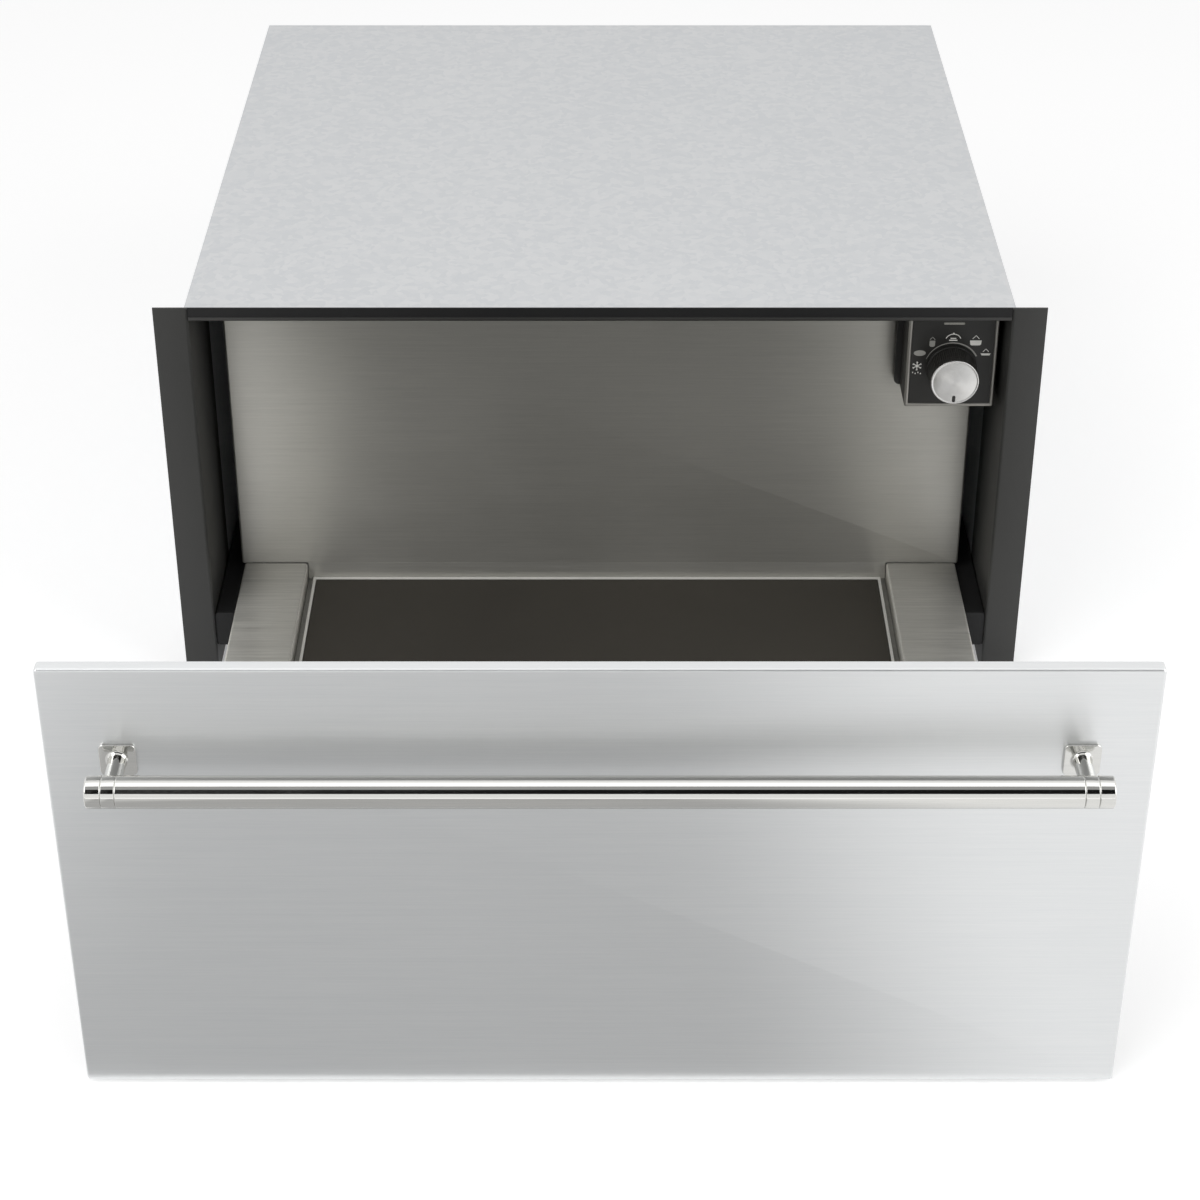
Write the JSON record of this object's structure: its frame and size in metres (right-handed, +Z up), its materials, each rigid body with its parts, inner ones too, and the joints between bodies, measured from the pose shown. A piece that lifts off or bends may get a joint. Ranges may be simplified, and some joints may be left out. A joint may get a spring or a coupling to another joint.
{
  "type": "warming drawer",
  "caption": "Built-in warming drawer with a brushed steel front, bar handle, heated floor with a dark mat, ball-bearing runners and a rotary heat knob.",
  "frame": {"origin": "middle of the housing's underside, on the cabinet floor", "axes": "+X to the user's right, +Y from the user into the cabinet, +Z up"},
  "size_m": [0.596, 1.0293, 0.289],
  "materials": {
    "front_steel": "horizontally brushed stainless steel",
    "inner_steel": "horizontally brushed stainless steel, a shade darker",
    "handle_chrome": "polished",
    "frame_black": "dark satin paint on steel",
    "zinc_steel": "galvanised sheet",
    "runner_steel": "zinc plated",
    "screw_steel": "zinc plated",
    "cage_brass": "passivated yellow",
    "black_plastic": "fine satin",
    "pale_plastic": "moulded thermoset",
    "lamp_plastic": "clear, lightly tinted",
    "bezel_metal": "satin",
    "knob_aluminium": "spun, with circular grain",
    "floor_aluminium": "mill finish",
    "mat_rubber": "matte silicone rubber",
    "black_rubber": "matte",
    "filler_board": "pressed mineral fibre board",
    "wool": "mineral wool",
    "heater_steel": "heat-darkened tube",
    "terminal_ceramic": "steatite"
  },
  "bodies": {
    "housing": {"frame_post_left": "frame_black", "frame_post_right": "frame_black", "frame_rail": "frame_black", "side_panel_left": "zinc_steel", "side_panel_right": "zinc_steel", "top_cover": "zinc_steel", "base_plate": "zinc_steel", "rear_cover": "zinc_steel", "rear_screws": "screw_steel", "runner_bracket_left": "frame_black", "runner_bracket_right": "frame_black", "rail_outer_left": "runner_steel", "rail_outer_right": "runner_steel", "control_hanger": "frame_black", "control_box": "black_plastic", "control_fascia": "black_plastic", "control_bezel": "bezel_metal", "indicator_window": "lamp_plastic", "rotary_switch": "pale_plastic", "junction_cover": "black_plastic", "terminal_block": "terminal_ceramic", "cable_gland": "black_plastic"},
    "middle_rails": {"rail_middle_left": "runner_steel", "rail_middle_right": "runner_steel"},
    "outer_cages": {"ball_cage_outer_left": "cage_brass", "ball_cage_outer_right": "cage_brass"},
    "inner_cages": {"ball_cage_inner_left": "cage_brass", "ball_cage_inner_right": "cage_brass"},
    "drawer": {"front_skin": "front_steel", "front_filler": "filler_board", "front_backing": "zinc_steel", "front_buffers": "black_rubber", "front_screws": "screw_steel", "handle_bar": "handle_chrome", "handle_bracket_left": "handle_chrome", "handle_bracket_right": "handle_chrome", "handle_cap_left": "handle_chrome", "handle_cap_right": "handle_chrome", "handle_plates": "handle_chrome", "handle_screws": "screw_steel", "base_pan": "zinc_steel", "rim_left": "inner_steel", "rim_right": "inner_steel", "back_wall": "inner_steel", "floor_plate": "floor_aluminium", "floor_trim": "bezel_metal", "floor_mat": "mat_rubber", "heating_element": "heater_steel", "insulation_pad": "wool", "limit_thermostat": "terminal_ceramic", "rail_inner_left": "runner_steel", "rail_inner_right": "runner_steel"},
    "knob": {"knob_body": "black_plastic", "knob_cap": "knob_aluminium", "knob_index": "black_plastic", "switch_spindle": "screw_steel"}
  },
  "joints": [
    {"name": "drawer_slide", "type": "slide", "parent": "housing", "child": "drawer", "axis": [0, -1, 0], "range_m": [-0.424, 0]},
    {"name": "middle_rail_slide", "type": "slide", "parent": "housing", "child": "middle_rails", "axis": [0, -1, 0], "range_m": [-0.212, 0]},
    {"name": "outer_cage_slide", "type": "slide", "parent": "housing", "child": "outer_cages", "axis": [0, -1, 0], "range_m": [-0.106, 0]},
    {"name": "inner_cage_slide", "type": "slide", "parent": "housing", "child": "inner_cages", "axis": [0, -1, 0], "range_m": [-0.318, 0]},
    {"name": "knob_turn", "type": "hinge", "parent": "housing", "child": "knob", "pos_m": [0.2393, -0.246, 0.233], "axis": [0, 1, 0], "range_deg": [0, 242]}
  ],
  "couplings": [
    {"joint": "middle_rail_slide", "follows": "drawer_slide", "ratio": 0.5},
    {"joint": "outer_cage_slide", "follows": "drawer_slide", "ratio": 0.25},
    {"joint": "inner_cage_slide", "follows": "drawer_slide", "ratio": 0.75}
  ]
}
